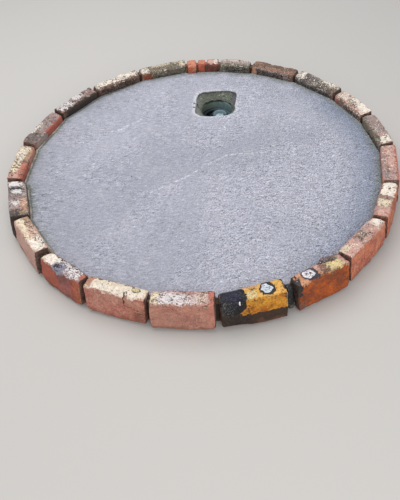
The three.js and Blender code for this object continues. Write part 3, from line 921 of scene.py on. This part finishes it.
order = np.argsort(np.arctan2(face_middles[:, 1], face_middles[:, 0]))
half_along, half_out, half_up = (face_axes[:, i] * face_halves[:, i, None] for i in range(3))
inner_arris = face_middles - half_out + half_up
start_points, end_points = inner_arris - half_along, inner_arris + half_along
for number, (one, other) in enumerate(zip(order, np.roll(order, -1))):
    if np.linalg.norm((lump_middle - end_points[one]) * (1, 1, 0)) < beside_lump:
        continue
    joint_middle = (start_points[other] + end_points[one]) / 2 * (1, 1, 0)
    out_joint = unit(joint_middle)
    across_joint = np.cross((0.0, 0.0, 1.0), out_joint)
    width = abs((start_points[other] - end_points[one]) @ across_joint)
    at_bat = any(kerb_nodes[each].startswith("kerb_bat") for each in (one, other))
    drop = (back_drop if joint_middle[1] > back_from else front_drop) + drop_step * (number % 3)
    earth_size = np.array([width + earth_lap, earth_depth, kerb_top - (crumb_drop if at_bat else drop)])
    rings, shares, worn = worn_block(earth_size, earth_spacing, earth_arris, earth_wear, 90 + number)
    rings[..., 0] *= 1 + (1 + shares[..., 1]) * earth_splay
    joint_middle = joint_middle + out_joint * (earth_depth / 2 + earth_inset) + (0, 0, earth_size[2] / 2)
    rings = rings @ np.stack([-across_joint, out_joint, (0, 0, 1)]) + joint_middle
    rings[..., 2] = np.maximum(rings[..., 2], 0.0002)
    earth = closed_rings(f"joint_earth_{number + 1:02d}", rings, place=shares, worn=worn)
    earth.data.materials.append(brick_crumbs if at_bat else joint_earth)
    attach(earth, "root")
    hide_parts("cover_slab")

# Cover slab
# One casting of fine concrete, poured against the bricks and round the neck, struck off level and
# worked with a wooden float in wide sweeps. The box that formed its opening was drawn while green.


def flat_points(node):
    """Plan of all the points of a node, and their heights."""
    points = np.array([v.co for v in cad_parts[node].data.vertices])
    return points[:, :2], points[:, 2]


def ring_sizes(node):
    """Bore, radius, height and centre of a turned ring of the CAD."""
    low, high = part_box(node)
    centre = np.array([(low.x + high.x) / 2, (low.y + high.y) / 2])
    spans = np.hypot(*(flat_points(node)[0] - centre).T)
    return spans.min(), spans.max(), high.z, centre


def ring_of(flat, height):
    """Points of one ring: its plan and its height."""
    return np.concatenate([flat, np.broadcast_to(np.asarray(height), (len(flat),))[:, None]], -1)


def outline(points, centre, angles):
    """Where rays at these angles from centre meet a closed outline: its corners sorted by angle,
    joined by straight sides of 24 steps each, and read off between those steps."""
    about = points - centre
    corners = about[np.argsort(np.arctan2(about[:, 1], about[:, 0]))]
    onward = np.roll(corners, -1, axis=0)
    steps = np.linspace(0, 1, 24, endpoint=False)[None, :, None]
    fine = (corners[:, None] * (1 - steps) + onward[:, None] * steps).reshape(-1, 2)
    at = np.arctan2(fine[:, 1], fine[:, 0])
    order = np.argsort(at)
    reach = np.interp(angles, at[order], np.hypot(fine[:, 0], fine[:, 1])[order], period=2 * np.pi)
    return centre + reach[:, None] * headings(angles)


def rim_line(directions, height):
    """Where level rays from the slab's axis meet the bricks' inner faces at this height. A face is
    the plane p . out = middle . out - half thickness, so the ray e meets it at the distance
    (middle . out - half thickness - height out_z) / (e . out). Each ray takes the brick that it
    meets within its length, or nearest to it."""
    along, out = face_axes[:, 0], face_axes[:, 1]
    offset = (face_middles * out).sum(1) - face_halves[:, 1] - height * out[:, 2]
    facing = directions @ out[:, :2].T
    reach = offset / np.where(facing > 0.5, facing, 1e-6)
    hits = directions[:, None] * reach[..., None]
    aside = np.abs((hits * along[:, :2]).sum(-1) - (face_middles[:, :2] * along[:, :2]).sum(1))
    nearest = np.where(facing > 0.5, aside - face_halves[:, 0], np.inf).argmin(1)
    return hits[np.arange(len(directions)), nearest]


neck_low, neck_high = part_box("neck_collar")
collar_radius = (neck_high.x - neck_low.x) / 2
_, _, neck_rim, neck_middle = ring_sizes("neck_collar")
slab_plan, slab_heights = flat_points("cover_slab")
at_mouth = (slab_heights > slab_top - 0.0005) & (np.hypot(*(slab_plan - neck_middle).T) < 0.25)

ray_count = 480
outward = headings(np.linspace(-np.pi, np.pi, ray_count, endpoint=False))
rim = rim_line(outward, slab_top)
rim_foot = rim_line(outward, 0.0)
mouth_middle = neck_middle - (0.0, 0.006)
ray = unit(rim - mouth_middle)
mouth = outline(slab_plan[at_mouth], mouth_middle, np.arctan2(ray[:, 1], ray[:, 0]))
smoothed_by = 6
ringed = np.pad(mouth, ((smoothed_by, smoothed_by), (0, 0)), mode="wrap")
window = np.ones(2 * smoothed_by + 1) / (2 * smoothed_by + 1)
mouth = np.stack([np.convolve(ringed[:, i], window, "valid") for i in (0, 1)], -1)
level_mouth = ring_of(mouth, 0.0)
ripples = 0.0032 * lump_noise(level_mouth, 0.03, 71) + 0.0016 * lump_noise(level_mouth, 0.013, 70)
mouth = mouth + ray * ripples[:, None]

lip_radius, rim_round, clearance = 0.006, 0.0025, 0.0003
wall_count, lip_count, top_steps, round_count = 16, 5, 145, 4
wall_top = slab_top - lip_radius
throat, throat_height = neck_middle + ray * 0.0752, neck_rim + 0.0006
lip, shore = mouth + ray * lip_radius, rim - ray * rim_round
seat = neck_middle + ray * (collar_radius + clearance)
rings = []
for share in np.linspace(1, 0, wall_count):
    flat = mouth + (throat - mouth) * share ** 1.25
    rings.append(ring_of(flat, wall_top - (wall_top - throat_height) * share))
for turn in np.linspace(1 / lip_count, 1, lip_count) * np.pi / 2:
    flat = mouth + ray * lip_radius * (1 - np.cos(turn))
    rings.append(ring_of(flat, slab_top - lip_radius * (1 - np.sin(turn))))
for share in np.linspace(0, 1, top_steps + 1)[1:] ** 0.93:
    rings.append(ring_of(lip + (shore - lip) * share, slab_top))
top_end = len(rings) + round_count - 1
for turn in np.linspace(1 / round_count, 1, round_count) * np.pi / 2:
    rings.append(ring_of(shore + ray * rim_round * np.sin(turn), slab_top - rim_round * (1 - np.cos(turn))))
for share in np.linspace(0, 1, 7)[1:]:
    rings.append(ring_of(rim + (rim_foot - rim) * share, (slab_top - rim_round) * (1 - share)))
for share in np.linspace(0, 1, 16)[1:]:
    rings.append(ring_of(rim_foot + (seat - rim_foot) * share, 0.0))
for height in np.linspace(0, neck_rim + clearance, 4)[1:]:
    rings.append(ring_of(seat, height))
rings.append(ring_of(neck_middle + ray * 0.078, neck_rim + clearance))
rings = np.array(rings)

from_rim = np.linalg.norm(rings[..., :2] - rim, axis=-1)
from_mouth = np.linalg.norm(rings[..., :2] - mouth, axis=-1)
level = rings * (1, 1, 0)
relief = 0.0011 * lump_noise(level, 0.21, 72) + 0.0006 * lump_noise(level, 0.07, 73)
relief += 0.0003 * lump_noise(level, 0.024, 74)
margin = 0.0012 * np.exp(-((from_mouth / 0.02) ** 2))
wash = 0.0034 * np.exp(-from_rim / 0.007) * (0.55 + 0.45 * lump_noise(level, 0.05, 75))
fade = np.clip(from_rim / 0.01, 0, 1) * np.clip(from_mouth / 0.012, 0, 1)
top_start = wall_count + lip_count
rings[top_start:top_end, :, 2] += (relief * fade + margin + wash)[top_start:top_end]
wall_end = wall_count + lip_count - 1
walls = np.zeros(len(rings))
walls[1:wall_end] = np.sin(np.linspace(0, 1, wall_end - 1) * np.pi)
rough_wall = 0.0022 * lump_noise(rings, 0.028, 76) + 0.0009 * lump_noise(rings, 0.011, 77)
rings[..., :2] += ray * (walls[:, None] * rough_wall)[..., None]


def looped_rings(name, rings, **kept):
    """An object of rings of points that close on themselves, the last ring joined to the first. The
    vectors given by name are kept as vertex attributes."""
    count, around = rings.shape[:2]
    ring, step = np.meshgrid(np.arange(count) * around, np.arange(around), indexing="ij")
    next_ring, next_step = (ring + around) % (count * around), (step + 1) % around
    quads = np.stack([ring + step, next_ring + step, next_ring + next_step, ring + next_step], -1)
    return smooth_object(name, rings.reshape(-1, 3), quads.reshape(-1, 4).tolist(), kept)


zones = np.stack([from_rim, from_mouth, slab_top - rings[..., 2]], -1)
slab = looped_rings("floated_slab", rings, zones=zones)

concrete, place = new_material("floated_concrete")
zone = add_node("ShaderNodeAttribute", "Vector", {}, place.tree, attribute_name="zones")
rim_zone, mouth_zone, depth_zone = split(zone)
across, back, _ = split(place)

strokes = []
swept = vectors("ADD", place, vectors("MULTIPLY", noise(place, 2.6, 1.0, 0.5, "Color"), (0.16, 0.16, 0.0)))
for angle, length_scale, width_scale in ((0.06, 30.0, 125.0), (-0.5, 46.0, 185.0), (0.7, 60.0, 210.0)):
    rotated = add_node("ShaderNodeVectorRotate", 0, {"Vector": swept, "Axis": (0, 0, 1), "Angle": angle})
    strokes.append(noise(vectors("MULTIPLY", rotated, (length_scale, width_scale, 1.0)), 1.0, 2.0, 0.6))
sand = noise(place, 200.0, 2.0, 0.7)
coarse = noise(place, 90.0, 3.0, 0.6)
texture = sum(part * share for share, part in zip((0.2, 0.24, 0.16, 0.33, 0.07), (*strokes, sand, coarse)))
pale_strokes = rise(strokes[1], 0.6, 0.7) * rise(coarse, 0.42, 0.58)
dark_strokes = rise(strokes[2], 0.56, 0.64) * rise(strokes[1], 0.5, 0.56)

# The tones of the top: clouds, a bluish right margin that is partly damp and partly painted shade of the
# bricks, painted shade along the left margin, a greenish margin along the rim except at the front, and a
# dark line of painted shade at the foot of the bricks and beside the mortar lip.
cloud = noise(place, 2.3, 4.0, 0.6)
patchy = noise(place, 11.0, 4.0, 0.6)
leftness = rise(across * -1.0, 0.1, 0.6)
color = blend(rise(cloud, 0.4, 0.62), paint(169, 171, 183), paint(181, 182, 194))
color = blend(rise(patchy, 0.5, 0.66) * 0.35, color, paint(188, 187, 195))
# Bluish and darker towards the right rim: damp, and painted shade of the bricks that rise above the slab.
damp_and_shade = rise(across, 0.15, 0.65) * fall(rim_zone, 0.0, 0.24) * fall(back, 0.3, 0.6)
color = blend(damp_and_shade * 0.8, color, paint(128, 139, 160))
color = blend(leftness * fall(rim_zone, 0.0, 0.3) * 0.5, color, paint(156, 158, 168))
green = fall(rim_zone + centred(patchy, 0.09, 0.0), 0.0, 0.055) * rise(back, -0.6, -0.25)
color = blend(green * 0.7, color, paint(124, 130, 124))
# A dark line of painted shade along the foot of the bricks, moved off them to lie beside the mortar lip on
# the left.
rim_shade_line = abs(rim_zone - leftness * 0.011 + centred(coarse, 0.02, 0.0))
color = blend(fall(rim_shade_line, 0.002, 0.008) * 0.6, color, paint(86, 84, 80))


def scratch(start, finish, half_width):
    """How near a place is to a thin line drawn from start to finish on the slab."""
    start, finish = np.array(start), np.array(finish)
    length = float(np.hypot(*(finish - start)))
    ahead = (finish - start) / length
    aside = np.array([-ahead[1], ahead[0]])
    run = across * float(ahead[0]) + back * float(ahead[1]) - float(ahead @ start)
    off = across * float(aside[0]) + back * float(aside[1]) - float(aside @ start)
    thin = fall(abs(off + (patchy - 0.5) * 0.02), half_width * 0.3, half_width)
    return thin * rise(run, -0.006, 0.004) * fall(run, length - 0.004, length + 0.006)


long_scratch = [
    (-0.216, -0.175), (-0.134, -0.128), (-0.051, -0.080), (0.035, -0.010), (0.102, 0.029),
    (0.168, 0.042), (0.287, 0.034),
]
short_scratch = [(-0.371, 0.275), (-0.309, 0.323), (-0.263, 0.357)]
pale_marks = [
    (long_scratch, 0.006), (short_scratch, 0.014), ([(0.114, 0.251), (0.124, 0.203)], 0.006),
    ([(0.409, 0.276), (0.440, 0.240)], 0.006),
]
dark_marks = [([(-0.095, 0.31), (0.018, 0.232), (0.124, 0.135)], 0.007)]
for routes, tone, strength in (
    (pale_marks, paint(222, 223, 232), 0.65), (dark_marks, paint(120, 120, 132), 0.4),
):
    marks = 0.0
    for route, half_width in routes:
        for start, finish in zip(route, route[1:]):
            marks = maths("MAXIMUM", marks, scratch(start, finish, half_width))
    color = blend(marks * rise(coarse, 0.4, 0.56) * strength, color, tone)

# The pale margin of the opening, where the float pressed the fat of the mix, with a bluish white painted
# highlight on its front right edge, then both kinds of stroke, and sand that lies bare on the right.
leftward = rise(0.04 - across, 0.0, 0.04)
margin_pale = fall(mouth_zone + centred(coarse, 0.03, 0.0), 0.004, 0.024) * (leftward * 0.45 + 0.4)
color = blend(margin_pale, color, paint(216, 217, 222))
# A bluish white band on the front right of the opening's margin: painted highlight.
rim_highlight = margin_pale * fall(back, 0.36, 0.38) * rise(across, 0.02, 0.07)
color = blend(maths("MULTIPLY", rim_highlight, 1.2, clamp=True), color, paint(196, 212, 224))
color = blend(pale_strokes * 0.35, color, paint(222, 223, 234))
color = blend(dark_strokes * 0.55, color, paint(106, 106, 118))
cluster = rise(noise(place, 6.0, 3.0, 0.6), 0.42, 0.62)
bare_sand = rise(across, -0.25, 0.4) * centred(sand, 1.7, 0.0)
# The strokes' light and dark tones stand partly for the shading that their relief would give, as painted
# shade and light; the top is also made a little lighter towards the back.
stroke_tone_and_shade = (texture - 0.5) * (cluster * 2.6 + 3.4) + bare_sand + 1.0 + rise(back, 0.0, 0.5) * 0.035
color = shade(color, stroke_tone_and_shade)

# The walls of the opening are green with damp, and their tones are darker than the concrete's own, partly as
# painted shade inside the opening. They are lighter on the left as painted light and darker on the right,
# with painted shadow under the lip at the back and a near black band at their foot on the right, painted
# shadow of the gap there.
stain_noise = noise(place, 52.0, 5.0, 0.68)
facing_right = rise(across - float(neck_middle[0]), 0.068, 0.1)
# The wall's tones are darker than the concrete's own, partly painted shade inside the opening.
wall = blend(facing_right, paint(98, 103, 92), paint(90, 90, 98))
wall = blend(rise(stain_noise, 0.54, 0.66), wall, paint(138, 142, 130))
wall = blend(fall(stain_noise, 0.34, 0.42), wall, paint(66, 68, 60))
# Lighter towards the left of the opening: painted light.
wall = blend(rise(0.035 - across, 0.0, 0.04) * 0.75, wall, paint(152, 153, 148))
# Darker under the lip at the back: painted shadow.
overhang_shadow = fall(depth_zone + centred(stain_noise, 0.014, 0.0), 0.006, 0.013) * rise(back, 0.5, 0.53)
wall = blend(overhang_shadow * 0.8, wall, paint(52, 52, 54))
# A near black band at the foot on the right: painted shadow of the gap between the wall and the neck.
foot_gap_shadow = rise(depth_zone + centred(stain_noise, 0.02, 0.0), 0.0355, 0.038) * rise(across, 0.018, 0.05)
wall = blend(foot_gap_shadow, wall, paint(22, 26, 22))
color = blend(rise(depth_zone, 0.0015, 0.007), color, shade(wall, stroke_tone_and_shade))
buried = rise(depth_zone, 0.002, 0.006) * fall(rim_zone, 0.02, 0.04)
color = blend(buried, color, kiln_colors["dirt"])

# Air voids in the concrete, and four deep pits at the left corner of the opening, shown as dents whose dark
# tone is painted shade.
void = add_node("ShaderNodeTexVoronoi", "Distance", {"Vector": place, "Scale": 30.0})
chosen = maths("LESS_THAN", add_node("ShaderNodeSeparateColor", 0, {0: void.beside("Color")}), 0.16)
hole = fall(void, 0.05, 0.1) * chosen
pit_places = [
    (-0.0131, 0.4565, 0.085), (0.0016, 0.4653, 0.0693), (0.0037, 0.456, 0.0617), (-0.0158, 0.4223, 0.085),
]
for pit_place in pit_places:
    hole = maths("MAXIMUM", hole, fall(distance(place, pit_place), 0.0035, 0.0075))
color = blend(hole * 0.88, color, paint(62, 62, 62))

surface(concrete, color, 0.92, texture - hole * 0.5, 0.006, 0.7)
slab.data.materials.append(concrete)
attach(slab, "root")
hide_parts("cover_slab")

# Mortar lip
# Mortar drawn up against the bricks along the left side once the slab had set, a finger thick and
# uneven, the colour of the sand in it.

lip_steps, widest_at = 300, 227
lip_degrees = np.linspace(148.6, 253.8, lip_steps)
lip_ray = headings(np.radians(lip_degrees))
lip_line = rim_line(lip_ray, slab_top)
along_line = ring_of(lip_line, 0.0)
widest = np.exp(-(((lip_degrees - widest_at) / 9) ** 2))
lip_width = 0.0085 + 0.012 * widest + 0.003 * lump_noise(along_line, 0.06, 81)
lip_height = 0.0052 + 0.0022 * lump_noise(along_line, 0.045, 82)
taper = tapered(lip_steps, 10)
section_turn = np.linspace(0, 2 * np.pi, 14, endpoint=False)
section_in = -(1 + np.cos(section_turn)) / 2
section_up = np.clip(np.sin(section_turn), -0.35, 1)
inward = section_in[None, :, None] * (lip_width * taper)[:, None, None]
lip_flat = lip_line[:, None] + lip_ray[:, None] * inward
lip_level = slab_top + 0.0005 + section_up[None, :] * (lip_height * taper)[:, None]
lip_rings = np.concatenate([lip_flat, lip_level[..., None]], -1)
lip_rings += 0.0008 * lump_noise(lip_rings, 0.008, 83)[..., None] * (0.5, 0.5, 1)
mortar_lip = closed_rings("mortar_lip", lip_rings)

mortar, place = new_material("sandy_mortar")
soft, fine = noise(place, 26.0, 4.0), noise(place, 300.0, 3.0, 0.65)
color = blend(rise(soft, 0.42, 0.6), paint(178, 170, 154), paint(136, 130, 118))
surface(mortar, shade(color, fine * 1.6 + 0.2), 0.95, fine, 0.002, 0.8)
mortar_lip.data.materials.append(mortar)
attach(mortar_lip, "root")
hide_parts(*[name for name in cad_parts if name.startswith("mortar_fillet_")])

# Neck
# The tank's round neck comes up inside the slab: a moulded collar, a ledge inside it, and the end
# of a pipe that stands on the ledge. All are grey plastic under a film of cement.

spokes = headings(np.linspace(0, 2 * np.pi, 96, endpoint=False))


def turned(name, section, centre):
    """A closed section of (radius, height) points turned about an upright axis."""
    rings = [ring_of(centre + radius * spokes, height) for radius, height in section]
    return looped_rings(name, np.array(rings))


def ring_section(bore, radius, height, edge):
    """A ring's section: straight walls and a top with both arrises rounded by edge."""
    quarter = np.linspace(0, np.pi / 2, 5)
    outside = [(radius - edge + edge * np.cos(t), height - edge + edge * np.sin(t)) for t in quarter]
    inside = [(bore + edge - edge * np.sin(t), height - edge + edge * np.cos(t)) for t in quarter]
    steps = np.linspace(0, height - edge, 5)[:-1]
    return [(radius, s) for s in steps] + outside + inside + [(bore, s) for s in steps[::-1]]


def plastic(name, color_a, color_b, grime, shaded=None, bore=None, shaded_above=None):
    """Dusty moulded plastic: two close tones, streaks that run down, and a film of cement. shaded gives the
    tone of its left side: cement spilled over the collar, and painted shadow on the ledge. bore gives the
    middle, radius and tone of a pipe's inside, painted pale as painted light. shaded_above gives the height
    above which its top is painted dark on the right: painted shade at the foot of the concrete wall."""
    material, place = new_material(name)
    streaks = noise(vectors("MULTIPLY", place, (90.0, 90.0, 14.0)), 1.0, 3.0)
    film = noise(place, 45.0, 5.0, 0.65)
    color = blend(rise(streaks, 0.38, 0.64), color_a, color_b)
    color = blend(rise(film, 0.46, 0.66) * 0.55, color, grime)
    across, _, level = split(place)
    if shaded:
        neck_x = float(neck_middle[0])
        color = blend(fall(across, neck_x - 0.06, neck_x + 0.05), color, shaded)
    if shaded_above:
        # The top painted dark on the right: painted shade at the foot of the concrete wall.
        top_shade = rise(level + centred(film, 0.012, 0.0), shaded_above, shaded_above + 0.002)
        top_shade = top_shade * rise(across, 0.018, 0.05) * rise(noise(place, 17.0, 2.0), 0.38, 0.52)
        color = blend(top_shade, color, paint(36, 44, 40))
    if bore:
        middle, radius, tone = bore
        flat_place = vectors("MULTIPLY", place, (1.0, 1.0, 0.0))
        from_axis = distance(flat_place, (float(middle[0]), float(middle[1]), 0.0))
        color = blend(rise(from_axis, radius + 0.001, radius + 0.0025), tone, color)
    surface(material, color, film * 0.5 + 0.25, film, 0.001, 0.5)
    return material


pipe_bore, pipe_radius, _, pipe_middle = ring_sizes("neck_pipe")
neck_arris = 0.0018
neck_materials = {
    # The collar: its left tone is cement, and its top on the right is painted dark as painted shade.
    "neck_collar": plastic(
        "collar_plastic", paint(127, 154, 152), paint(106, 133, 136), paint(134, 146, 138),
        paint(108, 118, 106), shaded_above=neck_rim - 0.0035,
    ),
    # The ledge's left side is painted near black: painted shadow.
    "neck_ledge": plastic(
        "ledge_plastic", paint(78, 98, 104), paint(66, 86, 94), paint(90, 104, 102), paint(22, 30, 34),
    ),
    # The pipe's inside is painted pale, much paler than its rim: painted light.
    "neck_pipe": plastic(
        "pipe_plastic", paint(72, 92, 98), paint(62, 82, 88), paint(78, 94, 96),
        bore=(pipe_middle, pipe_bore, paint(156, 176, 184)),
    ),
}
for name, material in neck_materials.items():
    bore, radius, height, centre = ring_sizes(name)
    piece = turned("turned_" + name, ring_section(bore, radius, height, neck_arris), centre)
    piece.data.materials.append(material)
    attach(piece, "root")
    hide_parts(name)
    "pipe_plastic" if name == "neck_pipe" else "neck_plastic"

# Standing liquid
# What stands in the neck, nearly black and still, with dark scum on it round the pipe, and pale patches
# inside the pipe that are painted light on the liquid. It is only a thin layer here, at the neck's foot,
# because the part ends there.

liquid_level, liquid_depth, liquid_gap = 0.0035, 0.003, 0.0002
shore = neck_middle + spokes * (ring_sizes("neck_ledge")[0] - liquid_gap)
island = pipe_middle + spokes * (pipe_radius + 0.0001)
around_pipe = [
    ring_of(island + (shore - island) * share, liquid_level - liquid_depth * deep)
    for share, deep in ((0, 0), (0.5, 0), (1, 0), (1, 1), (0.5, 1), (0, 1))
]
in_pipe = [
    ring_of(pipe_middle + spokes * (pipe_bore - liquid_gap) * share, liquid_level - liquid_depth * deep)
    for share, deep in ((0, 1), (0.5, 1), (1, 1), (1, 0), (0.5, 0), (0, 0))
]
outer_liquid = looped_rings("liquid_round_pipe", np.array(around_pipe))
inner_liquid = closed_rings("liquid_in_pipe", np.array(in_pipe))
clear_spot = (0.1285, 0.4685, 0.0035)
# Dark scum round the pipe; inside the pipe the pale bluish patches are painted light on the liquid.
for liquid, scum_and_light_tone, scum_and_light_from in (
    (outer_liquid, paint(34, 38, 36), 0.5), (inner_liquid, paint(194, 214, 222), 0.28),
):
    material, place = new_material("dark_" + liquid.name)
    scum_and_light = rise(noise(place, 48.0, 4.0, 0.6), scum_and_light_from, scum_and_light_from + 0.2)
    scum_and_light = scum_and_light * rise(distance(place, clear_spot) + centred(scum_and_light, 0.002, 0.0), 0.004, 0.008)
    surface(material, blend(scum_and_light, paint(12, 16, 18), scum_and_light_tone), scum_and_light * 0.3 + 0.06)
    liquid.data.materials.append(material)
    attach(liquid, "root")
